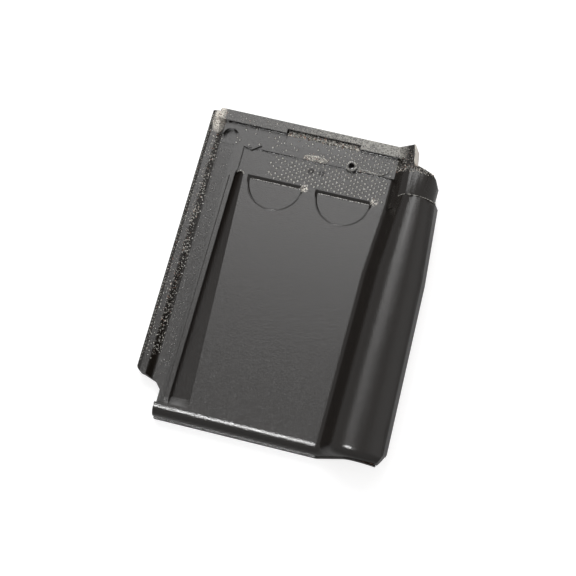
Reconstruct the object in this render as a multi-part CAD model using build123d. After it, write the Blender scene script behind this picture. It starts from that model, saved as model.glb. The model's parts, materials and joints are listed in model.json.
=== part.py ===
"""One interlocking clay roof tile, pressed and fired as a single piece.

Millimetres. X runs across the tile from the side lock (-) to the roll (+),
Y runs up the slope from the nose (-) to the head (+), Z is up from the floor
that the nose and the batten nibs stand on. The origin is under the middle.
"""
from build123d import *
from math import atan2, cos, radians, sin, tan
import os

# Overall sizes
tile_length = 335.0
wing_edge_head = 133.2
wing_edge_nose = 136.5
roll_edge_nose = 139.5
nose_y = -tile_length / 2
head_y = tile_length / 2
overrun = 4.0
seat = 1.0

# Pan, the flat water course
pan_top = 25.0
body_thickness = 12.0
pan_underside = pan_top - body_thickness
pan_left = -99.6
roll_foot_nose = 65.0
roll_foot_head = 70.0

# Roll that laps over the neighbour's side lock
roll_crest_x = 103.5
roll_height = 35.0
roll_cove_radius = 8.0
roll_flank_angle = 62.0
roll_fall_angle = 85.0
roll_wall = 13.0
roll_edge_bend = 133.5
roll_edge_head = 126.5
skirt_bottom = 25.0
skirt_wall = 8.0
crease_rise_body = 20.0
crease_rise_inner = 10.0
bend_back = 137.5
shoulder_back = 55.5
bend_y = head_y - bend_back
shoulder_y = head_y - shoulder_back

# Nose, a rounded lip turned down to the tile below
lip_depth = 14.0
nose_round = 11.0
nose_left = -107.0
lip_step = 1.2
lip_bead_height = 6.0
lip_arch_height = 42.0
lip_arch_x = 109.0
lip_foot_x = 66.0
lip_arch_angle = 50.0
lip_arch_cove = 3.0
lip_crease_rise = 1.0
lip_corner_z = 27.0
nose_cut_x = 131.5
nose_cut_bulge = 3.0
nose_cut_length = 32.0

# Side lock with an outer rib, a water channel and an inner rib
wing_underside = 4.0
outer_rib_top = 20.5
outer_rib_shoulder = 17.0
outer_rib_bevel = 4.5
outer_rib_width = 11.0
channel_slope_width = 8.0
channel_floor_nose = 14.0
channel_floor_head = 20.5
channel_width = 15.5
inner_wall_run = 4.5
inner_rib_width = 4.5
inner_rib_top = 27.5
rib_end_run = 9.0
channel_end_back = 17.9
channel_end_y = head_y - channel_end_back
wing_end_up = 42.0
wing_end_y = nose_y + wing_end_up
wing_end_skew = 5.0
wing_corner_radius = 8.0
wing_notch_run = 7.0
wing_notch_drop = 8.0
lock_nose_gap = 12.0

# Gutter beside the inner rib
gutter_depth = 3.6
gutter_width_head = 8.5
gutter_width_nose = 22.0
gutter_head_back = 60.5
gutter_head_y = head_y - gutter_head_back
gutter_nose_gap = 15.0
gutter_end_run = 9.0
gutter_end_share = 0.1
gutter_end_radius = 4.4

# Head with its raised band and rim
band_top = 27.5
band_back = 34.1
band_y = head_y - band_back
band_strip_back = 68.5
band_strip_y = head_y - band_strip_back
band_strip_right = -88.8
band_right = 84.0
rim_top = 33.0
rim_width = 11.5
rim_y = head_y - rim_width
rim_left = -122.0
rim_set_back = 4.5
set_back_left = -47.5
set_back_right = 32.5
set_back_start = 22.5
set_back_y = head_y - set_back_start
set_back_depth = 1.0
drip_width = 10.0
drip_start = -80.0
drip_drop = 2.4
drip_rise = 4.8
head_underside = 15.0

# Nail hole in its raised ring
nail_x = 27.7
nail_back = 30.6
nail_y = head_y - nail_back
nail_radius = 3.2
nail_ring_radius = 6.0
nail_ring_top = 29.5

# Low round boss beside the neck
boss_x = 62.0
boss_back = 26.5
boss_y = head_y - boss_back
boss_radius = 5.5
boss_rise = 1.2

# Half-moon pockets
moon_radius = 28.0
moon_depth = 2.7
moon_slope = 3.0
moon_back = 65.5
moon_y = head_y - moon_back
moon_left_x = -46.0
moon_right_x = 27.7

# Neck of the roll under the next tile's nose
neck_foot = 70.5
neck_crease_rise = 10.0
neck_crest_x = 100.0
neck_height = 23.5
neck_cove_radius = 4.0
neck_flank_angle = 66.0
neck_edge = 122.0
neck_bottom = 24.0
neck_wall = 11.0
spike_x = 90.0
spike_top = 54.0
spike_start_height = 21.0
spike_left_low = 76.0
spike_left_head = 66.0
spike_foot_x = 92.5
spike_foot_back = 18.0
spike_foot_y = head_y - spike_foot_back
corner_cut_x = 114.0
corner_cut_back = 26.5
corner_cut_y = head_y - corner_cut_back
corner_side_x = 119.5
corner_side_back = 37.5
corner_side_y = head_y - corner_side_back
corner_lean = 5.0
neck_end_back = 26.5
neck_end_y = head_y - neck_end_back
neck_end_slope = 40.0

# Lock rib under the roll and nibs for the batten
lock_rib_x = 115.0
lock_rib_width = 5.0
lock_rib_bottom = 24.0
lock_rib_gap = 22.0
nib_width = 30.0
nib_depth = 11.0
nib_face_back = 28.5
nib_face_y = head_y - nib_face_back
nib_spread = 100.0
nib_slope = 3.0


def solid_of(face, length, direction):
    """Pull a face along a direction."""
    return extrude(face, amount=length, dir=direction)


def plan_block(points, low, high):
    """A block with a straight-sided outline in plan."""
    outline = Polyline(*[(x, y, low) for x, y in points], close=True)
    return solid_of(make_face(outline), high - low, (0, 0, 1))


def roll_flank(foot, crest, base, height, cove, angle):
    """Points up a flank that leaves the flat in a cove and tops out level.

    The cove and the crown are arcs, with a straight stretch between them.
    """
    turn = radians(angle)
    run = crest - foot
    radii = (run * tan(turn) - height) / (sin(turn) * tan(turn) - 1 + cos(turn))
    crown = radii - cove
    top = base + height
    return [
        (foot + cove * sin(turn / 2), base + cove * (1 - cos(turn / 2))),
        (foot + cove * sin(turn), base + cove * (1 - cos(turn))),
        (crest - crown * sin(turn), top - crown * (1 - cos(turn))),
        (crest - crown * sin(turn / 2), top - crown * (1 - cos(turn / 2))),
        (crest, top),
    ]


def roll_fall(crest, top, edge, low, crease_rise):
    """Points from the level crest down a single arc to the crease over the skirt."""
    crease = (edge - crease_rise / tan(radians(roll_fall_angle)), low + crease_rise)
    run = crease[0] - crest
    drop = top - crease[1]
    radius = (run ** 2 + drop ** 2) / (2 * drop)
    half = atan2(run, radius - drop) / 2
    middle = (crest + radius * sin(half), top - radius * (1 - cos(half)))
    return middle, crease


def roll_lines(y, foot, crest, edge, base, top, low, cove, angle, crease_rise):
    """Line over a roll, from the foot of its cove to its outer edge."""
    def at(point):
        return (point[0], y, point[1])

    rise = roll_flank(foot, crest, base, top - base, cove, angle)
    middle, crease = roll_fall(crest, top, edge, low, crease_rise)
    return [
        ThreePointArc(at((foot, base)), at(rise[0]), at(rise[1])),
        Line(at(rise[1]), at(rise[2])),
        ThreePointArc(at(rise[2]), at(rise[3]), at(rise[4])),
        ThreePointArc(at(rise[4]), at(middle), at(crease)),
        Line(at(crease), at((edge, low))),
    ]


def roll_section(y, outer, inner, left, base, under):
    """Section of the flat and the roll beside it, between an outer and an inner line."""
    start, end = outer[0] @ 0, outer[-1] @ 1
    inner_start, inner_end = inner[0] @ 0, inner[-1] @ 1
    lines = [Line((left, y, base), start)] + outer
    lines += [Line(end, inner_end)] + inner[::-1]
    lines += [Line(inner_start, (left, y, under)), Line((left, y, under), (left, y, base))]
    return make_face(Wire(lines))


def body_section(y, foot, edge):
    """Section of the main body, from the inner rib to the roll's skirt."""
    roll_top = pan_top + roll_height
    outer = roll_lines(y, foot, roll_crest_x, edge, pan_top, roll_top, skirt_bottom,
                       roll_cove_radius, roll_flank_angle, crease_rise_body)
    inner = roll_lines(y, foot + roll_wall / 2, roll_crest_x, edge - skirt_wall, pan_underside,
                       roll_top - roll_wall, skirt_bottom, roll_cove_radius, roll_flank_angle,
                       crease_rise_inner)
    return roll_section(y, outer, inner, pan_left, pan_top, pan_underside)


def make_body():
    """Pan and roll, narrowing from the nose to the shoulder."""
    nose = body_section(nose_y + lip_depth, roll_foot_nose, roll_edge_nose)
    bend = body_section(bend_y, roll_foot_nose, roll_edge_bend)
    shoulder = body_section(shoulder_y, roll_foot_head, roll_edge_head)
    head = plan_block([(pan_left, shoulder_y - seat), (neck_foot + neck_wall / 2, shoulder_y - seat),
                       (neck_foot + neck_wall / 2, head_y), (pan_left, head_y)],
                      pan_underside, pan_top)
    return loft([nose, bend]) + loft([bend, shoulder]) + head


def lip_block():
    """Nose lip as a full block under the roll's line, with its top edge rounded over."""
    front_y = nose_y + lip_step
    reach = roll_edge_nose + skirt_bottom / tan(radians(roll_fall_angle))
    upper = roll_lines(front_y, roll_foot_nose, roll_crest_x, reach, pan_top,
                       pan_top + roll_height, 0, roll_cove_radius, roll_flank_angle,
                       skirt_bottom + crease_rise_body)
    upper = [Line((nose_left, front_y, pan_top), (roll_foot_nose, front_y, pan_top))] + upper
    close = Polyline((reach, front_y, 0), (nose_left, front_y, 0), (nose_left, front_y, pan_top))
    lip = solid_of(make_face(Wire(upper + close.edges())), lip_depth - lip_step, (0, 1, 0))
    front = [edge for edge in lip.edges() if abs(edge.center().Y - front_y) < seat]
    top_edges = []
    for line in upper:
        middle = line @ 0.5
        top_edges.append(min(front, key=lambda edge: (edge.center() - middle).length))
    return fillet(top_edges, nose_round)


def lip_arch_line(y, rise):
    """Line of the lap edge over the neighbour's roll, lifted by a rise."""
    return roll_lines(y, lip_foot_x, lip_arch_x, roll_edge_nose, rise, lip_arch_height + rise,
                      lip_corner_z + rise, lip_arch_cove, lip_arch_angle, lip_crease_rise)


def lip_arch(y, depth):
    """Space under the nose's lap edge, arched over the neighbour's roll."""
    side = roll_edge_nose + skirt_bottom
    close = Polyline((roll_edge_nose, y, lip_corner_z), (side, y, lip_corner_z),
                     (side, y, -overrun), (lip_foot_x, y, -overrun), (lip_foot_x, y, 0))
    return solid_of(make_face(Wire(lip_arch_line(y, 0) + close.edges())), depth, (0, 1, 0))


def lip_bead():
    """Thicker strip along the lower edge of the nose, following the lap edge."""
    high = lip_bead_height
    upper = [Line((nose_left, nose_y, high), (lip_foot_x, nose_y, high))]
    upper += lip_arch_line(nose_y, high)
    close = Polyline((roll_edge_nose, nose_y, lip_corner_z + high), (roll_edge_nose, nose_y, 0),
                     (nose_left, nose_y, 0), (nose_left, nose_y, high))
    return solid_of(make_face(Wire(upper + close.edges())), lip_step, (0, 1, 0))


def make_lip():
    """Nose lip with its arched lap edge."""
    return lip_block() + lip_bead() - lip_arch(nose_y - overrun, lip_depth + overrun)


def rib_crest_right(outer_edge):
    """Right side of the inner rib's top, where the gutter starts."""
    return (-outer_edge + outer_rib_width + channel_slope_width + channel_width
            + inner_wall_run + inner_rib_width)


def lock_section(y, outer_edge, floor):
    """Section of the side lock, from its outer edge to under the pan."""
    crest_right = rib_crest_right(outer_edge)
    crest_left = crest_right - inner_rib_width
    floor_right = crest_left - inner_wall_run
    floor_left = floor_right - channel_width
    rib_right = floor_left - channel_slope_width
    points = [
        (-outer_edge, wing_underside),
        (-outer_edge, outer_rib_shoulder),
        (-outer_edge + outer_rib_bevel, outer_rib_top),
        (rib_right, outer_rib_top),
        (floor_left, floor),
        (floor_right, floor),
        (crest_left, inner_rib_top),
        (crest_right, inner_rib_top),
        (crest_right + seat, pan_top - gutter_depth),
        (crest_right + seat, pan_underside),
        (floor_right, wing_underside),
    ]
    return make_face(Polyline(*[(x, y, z) for x, z in points], close=True))


def make_side_lock():
    """Outer rib, channel and inner rib in one strip, with its stepped lower end."""
    low_y = nose_y + lock_nose_gap
    strip = loft([lock_section(low_y, wing_edge_nose, channel_floor_nose),
                  lock_section(head_y, wing_edge_head, channel_floor_head)])
    return strip - wing_notch() - rib_end()


def wing_notch():
    """Corner taken out of the lock, where the tile beside and below fits in."""
    left = -wing_edge_nose
    side = left - overrun
    low = nose_y - overrun
    notch_y = wing_end_y - wing_end_skew
    turn_y = wing_end_y + wing_corner_radius
    turn = (left + wing_corner_radius, wing_end_y)
    middle = (left + wing_corner_radius * (1 - sin(radians(45))),
              turn_y - wing_corner_radius * sin(radians(45)))
    bend = (nose_left - wing_notch_run, notch_y)
    outline = Wire([
        Line((side, low), (nose_left, low)),
        Line((nose_left, low), (nose_left, notch_y - wing_notch_drop)),
        Line((nose_left, notch_y - wing_notch_drop), bend),
        Line(bend, turn),
        ThreePointArc(turn, middle, (left, turn_y)),
        Line((left, turn_y), (side, turn_y)),
        Line((side, turn_y), (side, low)),
    ])
    return Pos(0, 0, -overrun) * extrude(make_face(outline), rim_top + overrun)


def rib_end():
    """Slope that brings the inner rib down to the pan before the nose."""
    left = -wing_edge_nose
    high = inner_rib_top + seat
    low_y = nose_y + lip_depth
    top_y = low_y + rib_end_run
    profile = Polyline((left, nose_y, pan_top), (left, low_y, pan_top), (left, top_y, high),
                       (left, nose_y, high), close=True)
    return solid_of(make_face(profile), wing_edge_nose, (1, 0, 0))


def make_gutter():
    """Groove beside the inner rib, sharp on the left and running out on the right."""
    low_y = nose_y + gutter_nose_gap
    full_y = low_y + gutter_end_run
    left_nose = rib_crest_right(wing_edge_nose)
    left_head = rib_crest_right(wing_edge_head)
    lean = (left_head - left_nose) / tile_length

    def wedge(y, width, depth):
        left = left_nose + lean * (y - nose_y)
        floor = pan_top - depth
        points = [(left, floor), (left + width, pan_top), (left + width, rim_top), (left, rim_top)]
        return make_face(Polyline(*[(x, y, z) for x, z in points], close=True))

    cut = loft([wedge(full_y, gutter_width_nose, gutter_depth),
                wedge(gutter_head_y, gutter_width_head, gutter_depth)])
    cut += loft([wedge(low_y, gutter_width_nose, gutter_depth * gutter_end_share),
                 wedge(full_y, gutter_width_nose, gutter_depth)])
    return cut & gutter_limit(low_y, left_nose, left_nose + lean * (gutter_head_y - nose_y))


def gutter_limit(low_y, left_nose, left_head):
    """Outline of the gutter in plan, with its rounded upper end."""
    radius = gutter_end_radius
    centre = (left_head + radius, gutter_head_y - radius)
    bow = radius * sin(radians(45))
    start = (left_head, centre[1])
    tip = (centre[0], gutter_head_y)
    end = (centre[0] + radius, centre[1])
    right = left_nose + gutter_width_nose + overrun
    outline = Wire([
        ThreePointArc(start, (centre[0] - bow, centre[1] + bow), tip),
        ThreePointArc(tip, (centre[0] + bow, centre[1] + bow), end),
        Line(end, (right, low_y)),
        Line((right, low_y), (left_nose, low_y)),
        Line((left_nose, low_y), start),
    ])
    return extrude(make_face(outline), rim_top)


def make_head():
    """Raised band and rim across the head, with the drip notch in its front edge."""
    drip_end = drip_start + drip_width
    front = [
        (band_strip_right, band_y),
        (drip_start, band_y - drip_drop),
        (drip_end, band_y + drip_rise),
        (drip_end, band_y),
        (band_right, band_y),
    ]
    band = [(pan_left, band_strip_y), (band_strip_right, band_strip_y)] + front
    band += [(band_right, head_y), (channel_left(), head_y),
             (channel_left(), channel_end_y - channel_width),
             (pan_left, channel_end_y - channel_width)]
    block = plan_block(band, pan_underside, band_top)
    rim = plan_block([(rim_left, rim_y), (band_right, rim_y), (band_right, head_y),
                      (rim_left, head_y)], head_underside, rim_top)
    return block + rim - channel_end() - set_back()


def channel_left():
    """Left side of the channel floor at the head."""
    return -wing_edge_head + outer_rib_width + channel_slope_width


def channel_end():
    """Rounded upper end of the side channel."""
    left = channel_left()
    right = left + channel_width + inner_wall_run / 2
    radius = (right - left) / 2
    centre = (left + radius, channel_end_y - radius)
    low = channel_floor_head
    block = Pos(centre[0], centre[1], low) * extrude(Circle(radius), rim_top)
    channel = plan_block([(left - overrun, band_strip_y - overrun), (right, band_strip_y - overrun),
                          (right, centre[1]), (left - overrun, centre[1])], low, rim_top)
    return block + channel


def set_back():
    """Shallow panel in the head where the rim stands back."""
    back = rim_y + rim_set_back
    floor = band_top - set_back_depth
    profile = Polyline((set_back_left, set_back_y, band_top), (set_back_left, rim_y, floor),
                       (set_back_left, back, floor), (set_back_left, back, rim_top + overrun),
                       (set_back_left, set_back_y, rim_top + overrun), close=True)
    return solid_of(make_face(profile), set_back_right - set_back_left, (1, 0, 0))


def make_moon(centre_x):
    """Half-moon pocket with sloping walls."""
    floor = pan_top - moon_depth

    def half_disc(radius, y, z):
        left = (centre_x - radius, y, z)
        right = (centre_x + radius, y, z)
        arc = ThreePointArc(left, (centre_x, y - radius, z), right)
        return make_face(Wire([arc, Line(right, left)]))

    rise = (moon_depth + seat) / moon_depth
    wide = half_disc(moon_radius + moon_slope * rise, moon_y + moon_slope * rise, pan_top + seat)
    return loft([half_disc(moon_radius, moon_y, floor), wide])


def make_neck():
    """Smaller roll at the head, with its corner cut away to a spike."""
    y = shoulder_y - roll_wall
    top = pan_top + neck_height
    outer = roll_lines(y, neck_foot, neck_crest_x, neck_edge, pan_top, top, neck_bottom,
                       neck_cove_radius, neck_flank_angle, neck_crease_rise)
    inner = roll_lines(y, neck_foot + neck_wall / 2, neck_crest_x, neck_edge - skirt_wall,
                       pan_underside, top - neck_wall, neck_bottom, neck_cove_radius,
                       neck_flank_angle, neck_crease_rise / 2)
    section = roll_section(y, outer, inner, neck_foot - overrun, pan_top, pan_underside)
    neck = solid_of(section, head_y - y, (0, 1, 0)) - neck_slope()
    return neck + make_spike() - corner_cut()


def make_spike():
    """Ridge that climbs to a point where the head meets the cut corner."""
    right = spike_x + neck_wall

    def outline(y, left, top):
        return make_face(Polyline((left, y, pan_top), (spike_x, y, top), (right, y, pan_top),
                                  close=True))

    low = outline(neck_end_y, spike_left_low, pan_top + spike_start_height)
    return loft([low, outline(head_y, spike_left_head, spike_top)], ruled=True)


def corner_cut():
    """Upper corner taken off on a slant, as bare clay."""
    side = roll_edge_nose + overrun
    back = head_y + overrun

    def outline(z, lean):
        points = [
            (spike_x + lean, back),
            (spike_x + lean, head_y),
            (spike_foot_x + lean, spike_foot_y + lean),
            (corner_cut_x + lean, corner_cut_y + lean),
            (corner_side_x + lean, corner_side_y + lean),
            (neck_edge + overrun, shoulder_y + overrun),
            (side, shoulder_y + overrun),
            (side, back),
        ]
        return make_face(Polyline(*[(x, y, z) for x, y in points], close=True))

    return loft([outline(-overrun, corner_lean), outline(pan_top + roll_height, 0)], ruled=True)


def neck_slope():
    """Slope from the neck's crown down to the cut corner."""
    reach = neck_crest_x
    block = Box(reach, reach, reach, align=(Align.MIN, Align.MIN, Align.MIN))
    tilt = Rot(-neck_end_slope, 0, 0) * block
    return Pos(spike_foot_x, neck_end_y, pan_top + neck_height) * tilt


def make_underside():
    """Batten nibs near the head and the lock rib under the roll."""
    added = make_lock_rib()
    for side in (-1, 1):
        added += make_nib(side * nib_spread / 2)
    return added


def make_nib(centre):
    """Nib with an upright face for the batten and a sloping back."""
    left = centre - nib_width / 2
    top = pan_underside + seat
    profile = Polyline((left, nib_face_y, 0), (left, nib_face_y + nib_depth, 0),
                       (left, nib_face_y + nib_depth + nib_slope, top), (left, nib_face_y, top),
                       close=True)
    return solid_of(make_face(profile), nib_width, (1, 0, 0))


def make_lock_rib():
    """Rib under the roll that drops into the neighbour's channel."""
    low_y = nose_y + lock_rib_gap
    top = pan_top + roll_height - roll_wall
    left = lock_rib_x - lock_rib_width / 2
    outline = [(left, low_y), (left + lock_rib_width, low_y),
               (left + lock_rib_width, shoulder_y - lock_rib_gap), (left, shoulder_y - lock_rib_gap)]
    return plan_block(outline, lock_rib_bottom, top)


def nose_corner():
    """Outer corner of the nose, cut back on a curve."""
    low = nose_y - overrun
    side = roll_edge_nose + overrun
    tip = (nose_cut_x, nose_y)
    end = (roll_edge_nose + seat, nose_y + nose_cut_length)
    turn = atan2(end[1] - tip[1], end[0] - tip[0])
    middle = ((tip[0] + end[0]) / 2 + nose_cut_bulge * sin(turn),
              (tip[1] + end[1]) / 2 - nose_cut_bulge * cos(turn))
    outline = Wire([
        ThreePointArc(tip, middle, end),
        Line(end, (side, end[1])),
        Line((side, end[1]), (side, low)),
        Line((side, low), (nose_cut_x, low)),
        Line((nose_cut_x, low), tip),
    ])
    return Pos(0, 0, -overrun) * extrude(make_face(outline), pan_top + roll_height + overrun)


def make_tile():
    """The whole tile as one solid."""
    tile = make_body() + make_lip() + make_side_lock() + make_head() + make_neck()
    tile -= make_gutter()
    for centre in (moon_left_x, moon_right_x):
        tile -= make_moon(centre)
    ring = Pos(nail_x, nail_y, pan_underside)
    tile += ring * extrude(Circle(nail_ring_radius), nail_ring_top - pan_underside)
    boss = Pos(boss_x, boss_y, pan_underside) * extrude(Circle(boss_radius), band_top + boss_rise
                                                        - pan_underside)
    tile += boss
    tile += make_underside()
    tile -= ring * Pos(0, 0, -pan_underside) * extrude(Circle(nail_radius), rim_top + overrun)
    tile -= nose_corner()
    shift = (wing_edge_nose - roll_edge_nose) / 2
    return Pos(shift, 0, 0) * tile


os.makedirs("parts", exist_ok=True)
roof_tile = make_tile()
export_step(roof_tile, "parts/roof_tile.step")
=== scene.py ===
"""A glazed clay roof tile, laid flat in plain studio light."""
import json
from functools import cached_property
from math import cos, pi, radians, sin
from random import Random

import bpy
from mathutils import Matrix, Vector
from mathutils.bvhtree import BVHTree

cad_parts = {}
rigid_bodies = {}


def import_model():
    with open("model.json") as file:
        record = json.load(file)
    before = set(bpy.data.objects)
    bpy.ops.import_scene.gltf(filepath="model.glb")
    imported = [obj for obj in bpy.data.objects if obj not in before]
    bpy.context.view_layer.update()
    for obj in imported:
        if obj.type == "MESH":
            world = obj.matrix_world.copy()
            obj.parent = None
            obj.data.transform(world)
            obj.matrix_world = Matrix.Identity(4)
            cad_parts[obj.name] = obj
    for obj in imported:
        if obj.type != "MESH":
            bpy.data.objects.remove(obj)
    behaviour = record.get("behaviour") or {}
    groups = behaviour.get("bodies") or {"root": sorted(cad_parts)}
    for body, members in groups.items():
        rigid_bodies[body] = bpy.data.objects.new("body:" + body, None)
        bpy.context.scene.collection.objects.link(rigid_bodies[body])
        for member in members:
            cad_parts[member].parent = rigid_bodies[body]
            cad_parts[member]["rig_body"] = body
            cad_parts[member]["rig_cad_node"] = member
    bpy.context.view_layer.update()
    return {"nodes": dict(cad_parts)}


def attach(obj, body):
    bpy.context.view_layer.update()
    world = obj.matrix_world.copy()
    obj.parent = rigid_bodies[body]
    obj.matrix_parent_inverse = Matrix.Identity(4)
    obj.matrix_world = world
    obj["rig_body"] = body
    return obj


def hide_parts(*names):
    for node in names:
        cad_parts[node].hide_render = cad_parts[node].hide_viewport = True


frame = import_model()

bl_info = {
    "name": "Glazed Roof Tile",
    "version": (1, 0, 0),
    "blender": (4, 5, 0),
    "location": "View3D > Sidebar > Roof Tile",
    "description": "Dresses a glazed clay roof tile and lights it",
    "category": "Object",
}

MM = 0.001
NODE = "roof_tile"
BODY = "tile_body"
DETAIL_GLAZE = "glaze of details"
CREST = "crest"
UP = Vector((0, 0, 1))

# Places on the tile, in millimetres: X runs across it to the roll, Y along it to the head.
HEAD_END = 167.5
TILE_HEIGHT = 60
ROLL_START = 70  # the roll and its neck lie right of this
LEVEL_TOP = 34  # every level face lies below this
NAIL_RING = (26.2, 136.9, 28.9)
RING_MARKS = ((-14.5, 123, 25), (-3, 123, 25))
POCKETS = (-47.5, 26.2)  # middle of each half moon along X
POCKET_RIM = (102, 29.6)  # Y of the centre and radius of their round edges
POCKET_WALL = (27, 101.9, 22.1)  # half length, Y and Z of the foot of their straight walls
GUTTER_END = (-86.8, 102.8, 24.7)
GUTTER_RADIUS = 4.2
BAND_FOOT = 132.9
RIM_FOOT = 155.5
EDGE_BEAD = (34, 136.4, 27.5)  # start of the wavy bead beside the nail hole
SHOULDER = (84, 111.4)  # start along X and the Y of the edge where the full roll ends
LOCK_LEAN = 3.3 / 335  # slant of the side lock to the right along the tile

# Worn patches of the glaze: their middle and their reach in plan, in millimetres.
HEAD_CORNER = ((-124.5, 160), (9, 19))
CHIPS = (((-16.5, 103), (5, 5)), ((58.5, 105), (5, 5)), ((-12, 136.5), (15, 4.5)))

# Beads of glaze at the feet of the head's steps: start and end along X, and their Y.
STEP_BEADS = (
    (-88, 20, BAND_FOOT),
    (32, 64, BAND_FOOT),
    (-116, -49, RIM_FOOT),
    (32, 66, RIM_FOOT),
)

# Gaps in the stipple: a line along X, and the chance of a missing dot left and right of it.
HEAD_GAPS = (-38, 0.35, 0.04)
BAND_GAPS = (0, 0.75, 0.1)
LOCK_GAPS = (0, 0.6, 0.6)
CREST_GAPS = (0, 0.05, 0.05)

# Fields of crumbs: two corners in plan in millimetres, their number and their share of the
# full size.
CRUMB_FIELDS = (
    ((-48, 155.5), (30, 160), 45, 1.0),  # set-back part of the rim
    ((-25, 133.5), (1, 138), 16, 0.7),  # front of the band
    ((68, 142), (90, 165), 24, 0.36),  # spike
    ((74, 140), (116, 146), 22, 0.5),  # neck
    ((33, 133), (56, 136.5), 8, 0.5),  # beside the nail hole
    ((-130, 150), (-116, 165), 12, 0.5),  # left corner of the head
    ((-100, 156), (66, 166), 18, 0.4),  # top of the rim
    ((-127, -105), (-119, 150), 90, 0.45),  # inner side of the outer rib
    ((-135, -105), (-131, 165), 40, 0.4),  # outer edge
    ((-60, 106), (66, 154), 30, 0.35),  # flat and band of the head
)

# Soft lights, in metres: place, point that they face, size and share of the full strength.
SOFT_LIGHTS = {
    "ceiling": ((-0.27, 0.93, 1.5), (-0.27, 0.93, 0), (1.1, 1.08), 1),
    "front_ceiling": ((-0.27, 0.075, 1.5), (-0.27, 0.075, 0), (1.1, 0.63), 0.08),
    "side": ((1.5, 0.1, 0.7), (0.1, 0.1, 0), (1.6, 1.2), 0.08),
    "right_ceiling": ((0.52, 0.88, 1.5), (0.52, 0.88, 0), (0.44, 0.44), 1),
}
LAMP = ((-0.30, -0.70, 2.05), (0, 0, 0), (0.2, 0.2))  # place, point that it faces, size


class Number:
    """A value in a material, so that shader maths reads as an expression."""

    def __init__(self, finish, socket):
        self.finish = finish
        self.socket = socket

    def math(self, operation, *values):
        """One maths node over the values, in their order."""
        return self.finish.node("ShaderNodeMath", {"operation": operation},
                                dict(enumerate(values)))

    def __add__(self, other):
        return self.math("ADD", self, other)

    def __radd__(self, other):
        return self.math("ADD", other, self)

    def __sub__(self, other):
        return self.math("SUBTRACT", self, other)

    def __rsub__(self, other):
        return self.math("SUBTRACT", other, self)

    def __mul__(self, other):
        return self.math("MULTIPLY", self, other)

    def __rmul__(self, other):
        return self.math("MULTIPLY", other, self)

    def __truediv__(self, other):
        return self.math("DIVIDE", self, other)

    def at_least(self, other):
        """The larger of the two."""
        return self.math("MAXIMUM", self, other)

    def step(self, low, high):
        """0 at low, 1 at high and smooth between them; low may be the larger."""
        values = {"Value": self, "From Min": low, "From Max": high}
        return self.finish.node("ShaderNodeMapRange", {"interpolation_type": "SMOOTHSTEP"},
                                values)


class Finish:
    """The nodes of one material or world."""

    def __init__(self, owner):
        self.owner = owner
        owner.use_nodes = True
        self.tree = owner.node_tree
        self.tree.nodes.clear()

    def node(self, kind, settings=None, values=None, output=0):
        """Adds a node: its settings first, then the values or links of its sockets."""
        made = self.tree.nodes.new(kind)
        for name, setting in (settings or {}).items():
            setattr(made, name, setting)
        for name, value in (values or {}).items():
            socket = made.inputs[name]
            if isinstance(value, Number):
                self.tree.links.new(value.socket, socket)
            elif socket.type == "RGBA":
                socket.default_value = (*value, 1)
            else:
                socket.default_value = value
        return Number(self, made.outputs[output]) if made.outputs else None

    @cached_property
    def place(self):
        """Object coordinates, in metres."""
        return self.node("ShaderNodeTexCoord", output="Object")

    def axes(self):
        """The three object coordinates, one by one."""
        split = self.node("ShaderNodeSeparateXYZ", values={"Vector": self.place})
        return [Number(self, out) for out in split.socket.node.outputs]

    def noise(self, size, detail, roughness=0.5, stretch=(1, 1, 1)):
        """Cloudy pattern from 0 to 1, with spots of about the size given."""
        scaled = self.node("ShaderNodeMapping", values={"Vector": self.place, "Scale": stretch})
        return self.node("ShaderNodeTexNoise", values={
            "Vector": scaled, "Scale": 1 / size, "Detail": detail, "Roughness": roughness})

    def cells(self, size):
        """Distance to the nearest of scattered points, in shares of their spacing."""
        return self.node("ShaderNodeTexVoronoi",
                         values={"Vector": self.place, "Scale": 1 / size})

    def blend(self, factor, first, second):
        """Colour that goes from the first to the second."""
        # Sockets 6 and 7 and output 2 are the node's colours.
        return self.node("ShaderNodeMix", {"data_type": "RGBA"},
                         {0: factor, 6: first, 7: second}, output=2)

    def bump(self, height, distance):
        """Normal over a height pattern, where 1 stands the distance proud."""
        return self.node("ShaderNodeBump", values={
            "Strength": 1, "Distance": distance, "Height": height})

    def surface(self, values):
        """Ends the material with a principled surface."""
        shader = self.node("ShaderNodeBsdfPrincipled", values=values)
        self.node("ShaderNodeOutputMaterial", values={"Surface": shader})
        return self.owner


class TileFinish(bpy.types.PropertyGroup):
    """Colours and surface of the glaze and the clay"""
    glaze: bpy.props.FloatVectorProperty(
        name="Glaze", description="Colour of the fired glaze", subtype="COLOR", size=3,
        default=(0.0075, 0.0057, 0.0044))
    # Also painted on the dots' crests and on the pale beads, as a painted highlight for their
    # glints.
    sandy_and_glint: bpy.props.FloatVectorProperty(
        name="Sandy glaze", description="Colour where the glaze is thin and sandy",
        subtype="COLOR", size=3, default=(0.36, 0.35, 0.32))
    clay: bpy.props.FloatVectorProperty(
        name="Bare clay", description="Colour of the body where the glaze is missing",
        subtype="COLOR", size=3, default=(0.42, 0.25, 0.19))
    # Also the colour of the pale crumbs, painted as glints on broken glaze.
    pale: bpy.props.FloatVectorProperty(
        name="Pale wear", description="Colour of scuffed and chalky places",
        subtype="COLOR", size=3, default=(0.84, 0.79, 0.71))
    gloss: bpy.props.FloatProperty(
        name="Roughness", description="Roughness of the smooth glaze", default=0.2,
        min=0, max=1, subtype="FACTOR")
    peel: bpy.props.FloatProperty(
        name="Orange peel", description="Height of the unevenness of the glaze",
        default=0.24 * MM, unit="LENGTH")


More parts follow.
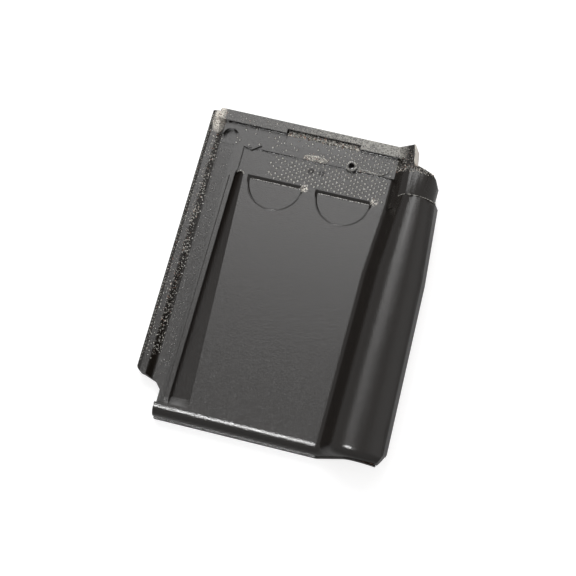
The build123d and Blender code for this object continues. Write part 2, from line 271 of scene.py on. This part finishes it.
class StippleSizes(bpy.types.PropertyGroup):
    """Sizes of the grip dots"""
    spacing: bpy.props.FloatProperty(
        name="Spacing", description="Distance between neighbouring dots", default=4.45 * MM,
        unit="LENGTH")
    angle: bpy.props.FloatProperty(
        name="Angle", description="Slant of the rows of dots across the tile",
        default=radians(35), subtype="ANGLE")
    radius: bpy.props.FloatProperty(
        name="Radius", description="Radius of one dot", default=1.4 * MM, unit="LENGTH")
    height: bpy.props.FloatProperty(
        name="Height", description="How far a dot stands out", default=0.45 * MM, unit="LENGTH")


class BeadSizes(bpy.types.PropertyGroup):
    """Sizes of the beads and crumbs of glaze"""
    nail_ring: bpy.props.FloatProperty(
        name="Nail ring", description="Radius of the ring round the nail hole",
        default=4.7 * MM, unit="LENGTH")
    nail_bead: bpy.props.FloatProperty(
        name="Nail bead", description="Radius of that ring's bead", default=1.1 * MM,
        unit="LENGTH")
    mark_ring: bpy.props.FloatProperty(
        name="Ring mark", description="Radius of a ring mark", default=2.2 * MM, unit="LENGTH")
    mark_bead: bpy.props.FloatProperty(
        name="Mark bead", description="Radius of a ring mark's bead", default=0.9 * MM,
        unit="LENGTH")
    wall_bead: bpy.props.FloatProperty(
        name="Wall bead", description="Radius of the bead at a pocket's straight wall",
        default=0.6 * MM, unit="LENGTH")
    rim_bead: bpy.props.FloatProperty(
        name="Pocket bead", description="Radius of the bead on a pocket's round edge",
        default=0.85 * MM, unit="LENGTH")
    gutter_bead: bpy.props.FloatProperty(
        name="Gutter bead", description="Radius of the bead round the gutter's upper end",
        default=0.9 * MM, unit="LENGTH")
    step_bead: bpy.props.FloatProperty(
        name="Step bead", description="Radius of the beads along the head's steps",
        default=0.7 * MM, unit="LENGTH")
    crumb: bpy.props.FloatProperty(
        name="Crumb", description="Radius of a full-size crumb", default=1 * MM, unit="LENGTH")


class StudioSettings(bpy.types.PropertyGroup):
    """Camera, lights and floor"""
    camera_place: bpy.props.FloatVectorProperty(
        name="Camera", description="Place of the camera", subtype="TRANSLATION", size=3,
        default=(0.378, -0.543, 2.3116))
    camera_turn: bpy.props.FloatVectorProperty(
        name="Camera turn", description="Turn of the camera about X, Y and Z", subtype="EULER",
        size=3, default=(radians(15.073), radians(5.754), radians(15.043)))
    lens: bpy.props.FloatProperty(
        name="Lens", description="Focal length on a 36 mm sensor, in millimetres",
        default=143.75)
    ceiling_strength: bpy.props.FloatProperty(
        name="Ceiling strength", description="Brightness of the soft lights", default=4.2)
    lamp_strength: bpy.props.FloatProperty(
        name="Lamp strength", description="Brightness of the small light beside the camera",
        default=330.0)
    world_strength: bpy.props.FloatProperty(
        name="World strength", description="Brightness of the surroundings as light",
        default=0.55)
    floor_lift: bpy.props.FloatProperty(
        name="Floor lift", description="Extra brightness of the floor in the camera's view",
        default=0.72)


def select_only(*pieces):
    """Leaves these objects alone selected, with the first active."""
    bpy.ops.object.select_all(action="DESELECT")
    for piece in pieces:
        piece.select_set(True)
    bpy.context.view_layer.objects.active = pieces[0]


def apply_modifier(piece, kind, **settings):
    """Adds a modifier with its settings and applies it."""
    select_only(piece)
    modifier = piece.modifiers.new(kind.lower(), kind)
    for name, value in settings.items():
        setattr(modifier, name, value)
    bpy.ops.object.modifier_apply(modifier=modifier.name)


def times(color, share):
    """A colour with each of its parts multiplied."""
    return tuple(share * part for part in color)


def grey(tone):
    """A colour with the same tone in each of its parts."""
    return 3 * (tone,)


def patch(x, y, centre, reach):
    """1 within an oval patch in plan, fading out towards its edge."""
    across = (x - centre[0] * MM) / (reach[0] * MM)
    along = (y - centre[1] * MM) / (reach[1] * MM)
    return (across * across + along * along).step(1, 0.2)


def clouded_glaze(finish):
    """Colour of the smooth glaze, and the clouds in which it gets lighter."""
    look = bpy.context.scene.tile_finish
    cloud = finish.noise(11 * MM, 4, 0.6)
    return finish.blend(cloud, tuple(look.glaze), times(look.glaze, 1.6)), cloud


def detail_finish():
    """Smooth glaze of the small raised details, with a painted highlight on their crests."""
    look = bpy.context.scene.tile_finish
    finish = Finish(bpy.data.materials.new(DETAIL_GLAZE))
    color, cloud = clouded_glaze(finish)
    crest = finish.node("ShaderNodeAttribute", {"attribute_name": CREST}, output="Fac")
    # The crests are painted sandy-pale: a painted highlight that stands in for the glint on each
    # dot and on the tops of the dark crumbs.
    color = finish.blend(crest.step(0.35, 0.75), color, tuple(look.sandy_and_glint))
    return finish.surface({"Base Color": color, "Roughness": look.gloss - 0.04 + 0.08 * cloud})


def rim_wear(x, y, z, speck):
    """Sandy glaze along the rim's top: a little at its left and much at its right."""
    # Behind the rim's front, at its level and left of the neck.
    rim = y.step(154.5 * MM, 157 * MM) * z.step(30 * MM, 32.5 * MM) * x.step(84 * MM, 76 * MM)
    amount = 0.1 + 1.1 * x.step(-75 * MM, 55 * MM)
    return rim * amount * speck.step(0.34, 0.62)


def pale_wear(x, y, speck, grain):
    """Chalky glaze at the head's left corner and at the chips."""
    corner = patch(x, y, *HEAD_CORNER) * speck.step(0.34, 0.5)
    chips = patch(x, y, *CHIPS[0])
    for chip in CHIPS[1:]:
        chips = chips.at_least(patch(x, y, *chip))
    return corner.at_least(chips * speck.step(0.47, 0.56)) * (0.7 + 0.4 * grain)


def bare_cut(x, y, z, patchy):
    """Bare clay on the spike's cut face, which slants with height and along the tile."""
    # The cut is the face's place along X at each height and each place along the tile.
    cut = 5 * MM * (1 - z / (TILE_HEIGHT * MM)) + (HEAD_END * MM - y) * 0.139 + 88.5 * MM
    bare = (x - cut).step(-1.2 * MM, -0.6 * MM) * y.step(147 * MM, 152 * MM)
    return bare * z.step(24 * MM, 30 * MM) * patchy.step(0.2, 0.35)


def lock_relief(x, y):
    """Two masks of the side lock: the fall beside its outer rib, and its sandy channel.

    The fall rises from 0 to 1 across a strip, so that a bump tilts the glaze there. Both
    slant with the lock.
    """
    across = x - 0.01 * y
    fall = across.step(-126.5 * MM, -118 * MM)
    channel = across.step(-119 * MM, -117 * MM) * across.step(-103 * MM, -105 * MM)
    return fall, channel * y.step(131 * MM, 127 * MM)


def glaze_finish():
    """Black-brown glaze, worn pale at the head's corner, rim and neck."""
    look = bpy.context.scene.tile_finish
    finish = Finish(bpy.data.materials.new("fired glaze"))
    x, y, z = finish.axes()
    grain = finish.noise(0.9 * MM, 2)
    speck = finish.noise(1.6 * MM, 2, 0.7)
    streak = finish.noise(4 * MM, 3, 0.5, (1, 0.08, 1))
    peel = finish.noise(1.5 * MM, 2, 0.6)

    neck = y.step(139 * MM, 147 * MM) * x.step(66 * MM, 74 * MM)
    thin = rim_wear(x, y, z, speck).at_least(neck * 0.5 * speck.step(0.58, 0.7))
    pale = pale_wear(x, y, speck, grain)
    bare = bare_cut(x, y, z, finish.noise(3 * MM, 3, 0.6))
    worn = thin.at_least(pale).at_least(bare)

    color, cloud = clouded_glaze(finish)
    color = finish.blend(thin, color, tuple(look.sandy_and_glint))
    color = finish.blend(pale, color, tuple(look.pale))
    clay = finish.blend(cloud.step(0.25, 0.42), tuple(look.clay), tuple(look.pale))
    color = finish.blend(bare, color, clay)

    fall, channel = lock_relief(x, y)
    sand = 0.6 * grain * (worn + 0.5 * neck + 0.9 * channel)
    height = peel + 0.15 * streak + sand - 10 * fall
    return finish.surface({"Base Color": color,
                           "Roughness": look.gloss + 0.06 * streak + 0.5 * worn,
                           "Normal": finish.bump(height, look.peel)})


def clay_finish():
    """Bare fired clay of the underside, with pores painted dark as shade in them, fire marks and
    pressing streaks.
    """
    look = bpy.context.scene.tile_finish
    finish = Finish(bpy.data.materials.new("bare clay"))
    cloud = finish.noise(25 * MM, 4, 0.6)
    grain = finish.noise(0.7 * MM, 3, 0.6)
    streak = finish.noise(3 * MM, 3, 0.5, (1, 0.05, 1))
    pores = finish.cells(3.5 * MM).step(0.14, 0.05)
    deep = times(look.clay, 0.72)
    color = finish.blend(cloud.step(0.3, 0.7), tuple(look.clay), deep)
    color = finish.blend(0.14 * streak.step(0.45, 0.8), color, tuple(look.pale))
    # The pores are painted darker: painted shade in the recesses.
    color = finish.blend(pores, color, times(deep, 0.3))
    height = grain + 0.4 * streak - 1.5 * pores
    return finish.surface({"Base Color": color, "Roughness": 0.8 + 0.12 * grain,
                           "Specular IOR Level": 0.3, "Normal": finish.bump(height, 0.12 * MM)})


def crumb_finish(name, color, rough):
    """Glaze speckled from dark to a colour of its own, for crumbs and thin beads; on the beads
    and the pale crumbs the pale colour is partly a painted highlight for their glints.
    """
    look = bpy.context.scene.tile_finish
    finish = Finish(bpy.data.materials.new(name))
    speck = finish.noise(1.4 * MM, 2, 0.7)
    shade = finish.blend(speck.step(0.42, 0.58), tuple(look.glaze), tuple(color))
    height = finish.noise(0.6 * MM, 2)
    return finish.surface({"Base Color": shade, "Roughness": rough + 0.1 * speck,
                           "Normal": finish.bump(height, 0.1 * MM)})


def shade_tile(piece):
    """Smooth rolls, with crisp steps and level faces left of them."""
    mesh = piece.data
    bpy.ops.object.shade_smooth_by_angle(angle=radians(36))
    bpy.ops.object.mode_set(mode="EDIT")
    bpy.ops.mesh.select_mode(type="EDGE")
    bpy.ops.mesh.select_all(action="DESELECT")
    bpy.ops.mesh.edges_select_sharp(sharpness=radians(24))
    bpy.ops.object.mode_set(mode="OBJECT")
    for edge in mesh.edges:
        if edge.select and mesh.vertices[edge.vertices[0]].co.x < ROLL_START * MM:
            edge.use_edge_sharp = True
    for face in mesh.polygons:
        if abs(face.normal.z) > 0.999 and face.center.z < LEVEL_TOP * MM:
            face.use_smooth = False


def surface_tree():
    """Search tree over the tile's body, for seating things on it."""
    body = bpy.data.objects[BODY]
    return BVHTree.FromObject(body, bpy.context.evaluated_depsgraph_get())


def seat(tree, x, y):
    """Point of the tile's top at a place in plan, and its normal there."""
    return tree.ray_cast(Vector((x, y, 1)), -UP)[:2]


def is_underside(face, tree):
    """Whether a face looks down, or is steep with more of the tile over it."""
    start = face.center + 0.5 * MM * face.normal
    covered = tree.ray_cast(start, UP)[0] is not None
    return face.normal.z < -0.3 or (face.normal.z < 0.3 and covered)


class DressTile(bpy.types.Operator):
    """Adds the tile's fired body over the measured solid"""
    bl_idname = "object.roof_tile_dress"
    bl_label = "Dress the tile"

    def execute(self, context):
        source = frame["nodes"][NODE]
        piece = source.copy()
        piece.data = source.data.copy()
        piece.name = BODY
        piece.parent = None
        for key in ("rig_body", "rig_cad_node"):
            del piece[key]
        context.scene.collection.objects.link(piece)
        select_only(piece)
        bpy.ops.object.mode_set(mode="EDIT")
        bpy.ops.mesh.select_all(action="SELECT")
        bpy.ops.mesh.remove_doubles(threshold=0.01 * MM)
        bpy.ops.object.mode_set(mode="OBJECT")
        shade_tile(piece)
        apply_modifier(piece, "WEIGHTED_NORMAL", keep_sharp=True, weight=90)
        piece.data.materials.clear()
        for material in (glaze_finish(), clay_finish()):
            piece.data.materials.append(material)
        tree = surface_tree()
        for face in piece.data.polygons:
            face.material_index = int(is_underside(face, tree))
        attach(piece, "root")
        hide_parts(NODE)
        return {"FINISHED"}


def dot_shape():
    """One low dome, with its rim just under the surface."""
    sizes = bpy.context.scene.stipple_sizes
    bpy.ops.mesh.primitive_uv_sphere_add(segments=10, ring_count=6, radius=1)
    dome = bpy.context.object
    bpy.ops.object.mode_set(mode="EDIT")
    bpy.ops.mesh.select_all(action="SELECT")
    bpy.ops.mesh.bisect(plane_co=(0, 0, -0.1), plane_no=(0, 0, 1), clear_inner=True)
    bpy.ops.object.mode_set(mode="OBJECT")
    for vertex in dome.data.vertices:
        if vertex.co.z > 0:
            vertex.co.z = 1 - vertex.co.x ** 2 - vertex.co.y ** 2
    dome.data.transform(Matrix.Diagonal((sizes.radius, sizes.radius, sizes.height, 1)))
    return dome


def crumb_shape():
    """One angular crumb."""
    size = bpy.context.scene.bead_sizes.crumb
    bpy.ops.mesh.primitive_ico_sphere_add(subdivisions=1, radius=size)
    return bpy.context.object


def lattice(low, high, gaps, seed, share=1.0, lean=0.0):
    """Places in a diamond lattice inside a box in plan, some left out at random.

    The box's corners are in millimetres, and the share is of the full spacing. The box
    leans to the right by the lean for each unit along Y, from the origin.
    """
    sizes = bpy.context.scene.stipple_sizes
    across = share * sizes.spacing * cos(sizes.angle)
    along = share * sizes.spacing * sin(sizes.angle)
    line, left, right = gaps
    stray = 0.15 * MM
    chance = Random(seed)
    row = 0
    y = low[1] * MM
    while y <= high[1] * MM:
        x = low[0] * MM + (row % 2) * across
        while x <= high[0] * MM:
            if chance.random() > (right if x > line * MM else left):
                yield x + lean * y + chance.gauss(0, stray), y + chance.gauss(0, stray)
            x += 2 * across
        y += along
        row += 1


def sprinkle(low, high, count, seed):
    """Random places inside a box in plan, with its corners in millimetres."""
    chance = Random(seed)
    for _ in range(count):
        yield (chance.uniform(low[0] * MM, high[0] * MM),
               chance.uniform(low[1] * MM, high[1] * MM))


def scatter(name, shape, groups, tree, spread, tilt, seed):
    """One joined mesh of copies of a shape, seated on the surface at each spot.

    A group is its spots and the share of the shape's size that they have. Sizes vary by
    the spread, and the copies lean at random by about the tilt. Steep places stay free.
    """
    chance = Random(seed)
    corners = [vertex.co.copy() for vertex in shape.data.vertices]
    sides = [tuple(face.vertices) for face in shape.data.polygons]
    points, faces = [], []
    for spots, share in groups:
        for x, y in spots:
            hit, normal = seat(tree, x, y)
            if hit is None or normal.z < 0.2:
                continue
            size = share * chance.uniform(1 - spread, 1 + spread)
            turn = normal.to_track_quat("Z", "Y").to_matrix()
            turn = turn @ Matrix.Rotation(chance.gauss(0, tilt), 3, "X")
            turn = turn @ Matrix.Rotation(2 * pi * chance.random(), 3, "Z")
            start = len(points)
            points.extend(hit + turn @ (corner * size) for corner in corners)
            faces.extend(tuple(start + corner for corner in side) for side in sides)
    mesh = bpy.data.meshes.new(name)
    mesh.from_pydata(points, [], faces)
    top = max(corner.z for corner in corners)
    crest = mesh.attributes.new(CREST, "FLOAT", "POINT")
    crest.data.foreach_set("value", [corner.z / top for corner in corners]
                           * (len(points) // len(corners)))
    piece = bpy.data.objects.new(name, mesh)
    bpy.context.scene.collection.objects.link(piece)
    bpy.data.objects.remove(shape)
    return piece


def finish_piece(piece, material):
    """Gives a piece its material, and the same body as the tile."""
    piece.data.materials.clear()
    piece.data.materials.append(material)
    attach(piece, "root")


class AddStipple(bpy.types.Operator):
    """Adds the raised grip dots on the head and the side lock"""
    bl_idname = "object.roof_tile_stipple"
    bl_label = "Add the stipple"

    def execute(self, context):
        glaze = detail_finish()
        # The flat, the band and the rim, then the lock's edge, rib, inner side and channel.
        groups = [
            (lattice((-58, 107), (66, 132), HEAD_GAPS, 1), 1.0),
            (lattice((-100, 136), (68, 154), BAND_GAPS, 2), 0.9),
            (lattice((-118, 158), (66, 166), BAND_GAPS, 6, 0.8), 0.5),
            (lattice((-134.6, -113), (-134.5, 164), CREST_GAPS, 7, 0.7, LOCK_LEAN), 0.7),
            (lattice((-131, -113), (-126, 162), LOCK_GAPS, 3, 0.8, LOCK_LEAN), 0.6),
            (lattice((-124.5, -118), (-118, 148), LOCK_GAPS, 4, 0.85, LOCK_LEAN), 0.7),
            (lattice((-116.5, -122), (-103, 130), LOCK_GAPS, 5, 0.75, LOCK_LEAN), 0.35),
        ]
        piece = scatter("grip_dots", dot_shape(), groups, surface_tree(),
                        spread=0.15, tilt=0, seed=3)
        select_only(piece)
        bpy.ops.object.shade_smooth()
        finish_piece(piece, glaze)
        return {"FINISHED"}


def add_ring(place, radius, bead):
    """One ring of glaze lying flat, at a place in millimetres."""
    bpy.ops.mesh.primitive_torus_add(location=times(place, MM), major_radius=radius,
                                     minor_radius=bead, major_segments=32, minor_segments=10)
    return bpy.context.object


def add_run(points, bead):
    """One run of pooled glaze along a line of points."""
    curve = bpy.data.curves.new("run", "CURVE")
    curve.dimensions = "3D"
    line = curve.splines.new("POLY")
    line.points.add(len(points) - 1)
    for knot, point in zip(line.points, points):
        knot.co = (*point, 1)
    curve.bevel_depth = bead
    curve.bevel_resolution = 2
    curve.use_fill_caps = True
    run = bpy.data.objects.new("run", curve)
    bpy.context.scene.collection.objects.link(run)
    select_only(run)
    bpy.ops.object.convert(target="MESH")
    return bpy.context.object


def seated_run(tree, places, shift, bead):
    """One run over places in plan, shifted from the surface under them."""
    return add_run([seat(tree, x, y)[0] + Vector(shift) for x, y in places], bead)


def pocket_wall(centre, bead):
    """Glaze pooled along the foot of a pocket's straight wall."""
    half, y, z = POCKET_WALL
    chance = Random(centre)
    places = [centre * MM + side * half * MM / 12 for side in range(-12, 13)]
    return add_run([(x, (y + chance.gauss(0, 0.08)) * MM, z * MM) for x in places], bead)


def gutter_run(bead):
    """Glaze pooled round the upper end of the gutter."""
    x, y, z = times(GUTTER_END, MM)
    radius = GUTTER_RADIUS * MM
    turns = [radians(155 - 10 * step) for step in range(15)]
    return add_run([(x + radius * cos(turn), y + radius * sin(turn), z) for turn in turns], bead)


def edge_run(bead):
    """Wavy run of glaze beside the nail hole."""
    x, y, z = EDGE_BEAD
    chance = Random(11)
    return add_run([((x + 1.5 * step) * MM, (y - 0.15 * step + chance.gauss(0, 0.5)) * MM,
                     z * MM) for step in range(18)], bead)


def pocket_rim(tree, centre, bead):
    """Bead of glaze along the round edge of a pocket."""
    line, radius = times(POCKET_RIM, MM)
    turns = [radians(190 + 160 * step / 30) for step in range(31)]
    places = [(centre * MM + radius * cos(turn), line + radius * sin(turn)) for turn in turns]
    return seated_run(tree, places, (0, 0, -0.35 * MM), bead)


def step_run(tree, start, end, y, bead):
    """Glaze gathered along the foot of a step across the head."""
    places = [((start + (end - start) * step / 20) * MM, y * MM) for step in range(21)]
    return seated_run(tree, places, (0, 0, -0.15 * MM), bead)


def shoulder_run(tree, bead):
    """Glaze gathered over the edge where the full roll ends above the neck."""
    x, y = SHOULDER
    places = [((x + 1.7 * step) * MM, y * MM) for step in range(24)]
    return seated_run(tree, places, (0, 0.8 * MM, -0.72 * MM), bead)


def join_runs(name, runs, material):
    """Makes one piece of several runs."""
    select_only(*runs)
    bpy.ops.object.join()
    piece = bpy.context.object
    piece.name = name
    bpy.ops.object.transform_apply(location=True)
    bpy.ops.object.shade_smooth()
    finish_piece(piece, material)


class AddGlazeRuns(bpy.types.Operator):
    """Adds the rings, and the glaze pooled at the pockets, the gutter and the steps"""
    bl_idname = "object.roof_tile_runs"
    bl_label = "Add the glaze runs"

    def execute(self, context):
        tree = surface_tree()
        look = context.scene.tile_finish
        sizes = context.scene.bead_sizes
        # These beads are painted pale: partly pale glaze, mostly a painted highlight for the
        # glint lines along them.
        thin = [add_ring(NAIL_RING, sizes.nail_ring, sizes.nail_bead)]
        thin += [pocket_wall(centre, sizes.wall_bead) for centre in POCKETS]
        thin += [gutter_run(sizes.gutter_bead), edge_run(sizes.step_bead),
                 shoulder_run(tree, sizes.step_bead)]
        full = [add_ring(mark, sizes.mark_ring, sizes.mark_bead) for mark in RING_MARKS]
        full += [pocket_rim(tree, centre, sizes.rim_bead) for centre in POCKETS]
        full += [step_run(tree, *ends, sizes.step_bead) for ends in STEP_BEADS]
        join_runs("thin_runs", thin, crumb_finish("pale glaze with painted glints", look.sandy_and_glint, 0.15))
        join_runs("full_runs", full, bpy.data.materials[DETAIL_GLAZE])
        return {"FINISHED"}


class AddCrumbs(bpy.types.Operator):
    """Adds the crumbs of glaze and clay along the head's broken edges and the side lock"""
    bl_idname = "object.roof_tile_crumbs"
    bl_label = "Add the crumbs"

    def execute(self, context):
        look = context.scene.tile_finish
        tree = surface_tree()
        # Each kind's material, and how many times the fields' numbers it has.
        kinds = {
            "dark_crumbs": (bpy.data.materials[DETAIL_GLAZE], 6),
            "clay_crumbs": (crumb_finish("crumbs of clay", look.clay, 0.6), 1),
            # The pale crumbs are white specks painted for the glints on broken glaze.
            "pale_crumbs": (crumb_finish("pale crumbs", look.pale, 0.3), 3),
        }
        for seed, (name, (material, amount)) in enumerate(kinds.items()):
            groups = [(sprinkle(low, high, amount * count, seed + 10 * field), share)
                      for field, (low, high, count, share) in enumerate(CRUMB_FIELDS)]
            piece = scatter(name, crumb_shape(), groups, tree, spread=0.45, tilt=0.5, seed=seed)
            finish_piece(piece, material)
        return {"FINISHED"}


def add_floor(studio):
    """Pale floor that the camera sees near white, with the tile's shadow on it."""
    bpy.ops.mesh.primitive_plane_add(size=8)
    floor = bpy.context.object
    floor.name = "studio_floor"
    finish = Finish(bpy.data.materials.new("pale floor"))
    color = finish.blend(finish.noise(0.3, 3), grey(0.44), grey(0.47))
    seen = finish.node("ShaderNodeLightPath", output="Is Camera Ray")
    lift = finish.blend(seen, grey(0), grey(studio.floor_lift))
    floor.data.materials.append(finish.surface(
        {"Base Color": color, "Roughness": 0.9, "Emission Color": lift, "Emission Strength": 1}))


def add_world(scene):
    """Plain surroundings: white to the camera, dimmer as light."""
    scene.world = bpy.data.worlds.new("studio")
    finish = Finish(scene.world)
    seen = finish.node("ShaderNodeLightPath", output="Is Camera Ray")
    dim = scene.studio_settings.world_strength
    back = finish.node("ShaderNodeBackground",
                       values={"Color": grey(1), "Strength": dim + (1 - dim) * seen})
    finish.node("ShaderNodeOutputWorld", values={"Surface": back})


def add_area(name, place, target, size, strength):
    """Rectangular light aimed at a point; strength is its brightness, where 1 is white."""
    light = bpy.data.lights.new(name, "AREA")
    light.shape = "RECTANGLE"
    light.size, light.size_y = size
    light.energy = strength * size[0] * size[1] * pi
    lamp = bpy.data.objects.new(name, light)
    bpy.context.scene.collection.objects.link(lamp)
    lamp.location = place
    lamp.rotation_euler = (Vector(place) - Vector(target)).to_track_quat("Z", "Y").to_euler()
    return lamp


def add_lights(studio):
    """Soft lights above the head, the nose and the right, and a small one that only glints."""
    for name, (place, target, size, share) in SOFT_LIGHTS.items():
        add_area(name, place, target, size, share * studio.ceiling_strength)
    lamp = add_area("lamp", *LAMP, studio.lamp_strength)
    lamp.visible_diffuse = False


def add_camera(scene):
    """Camera above the nose's right, looking down at the tile."""
    studio = scene.studio_settings
    data = bpy.data.cameras.new("camera")
    data.lens = studio.lens
    data.sensor_width = 36
    data.clip_end = 20
    camera = bpy.data.objects.new("camera", data)
    scene.collection.objects.link(camera)
    camera.location = studio.camera_place
    camera.rotation_euler = studio.camera_turn
    scene.camera = camera


class BuildStudio(bpy.types.Operator):
    """Adds the floor, the lights and the camera"""
    bl_idname = "scene.roof_tile_studio"
    bl_label = "Build the studio"

    def execute(self, context):
        add_floor(context.scene.studio_settings)
        add_world(context.scene)
        add_lights(context.scene.studio_settings)
        add_camera(context.scene)
        context.scene.view_settings.view_transform = "Standard"
        return {"FINISHED"}


class RoofTilePanel(bpy.types.Panel):
    """The tile's settings, and the operators that make it"""
    bl_label = "Roof Tile"
    bl_idname = "VIEW3D_PT_roof_tile"
    bl_space_type = "VIEW_3D"
    bl_region_type = "UI"
    bl_category = "Roof Tile"

    def draw(self, context):
        for name, group in SETTINGS.items():
            for setting in group.__annotations__:
                self.layout.prop(getattr(context.scene, name), setting)
        for maker in MAKERS:
            self.layout.operator(maker.bl_idname)


SETTINGS = {
    "tile_finish": TileFinish,
    "stipple_sizes": StippleSizes,
    "bead_sizes": BeadSizes,
    "studio_settings": StudioSettings,
}
MAKERS = (DressTile, AddStipple, AddGlazeRuns, AddCrumbs, BuildStudio)
CLASSES = (*SETTINGS.values(), *MAKERS, RoofTilePanel)


def register():
    """Registers the classes and their settings."""
    for item in CLASSES:
        bpy.utils.register_class(item)
    for name, group in SETTINGS.items():
        setattr(bpy.types.Scene, name, bpy.props.PointerProperty(type=group))


def unregister():
    """Takes the settings and classes away again."""
    for name in SETTINGS:
        delattr(bpy.types.Scene, name)
    for item in reversed(CLASSES):
        bpy.utils.unregister_class(item)


def main():
    """Makes the tile and its studio."""
    register()
    bpy.ops.object.roof_tile_dress()
    bpy.ops.object.roof_tile_stipple()
    bpy.ops.object.roof_tile_runs()
    bpy.ops.object.roof_tile_crumbs()
    bpy.ops.scene.roof_tile_studio()


if __name__ == "__main__":
    main()
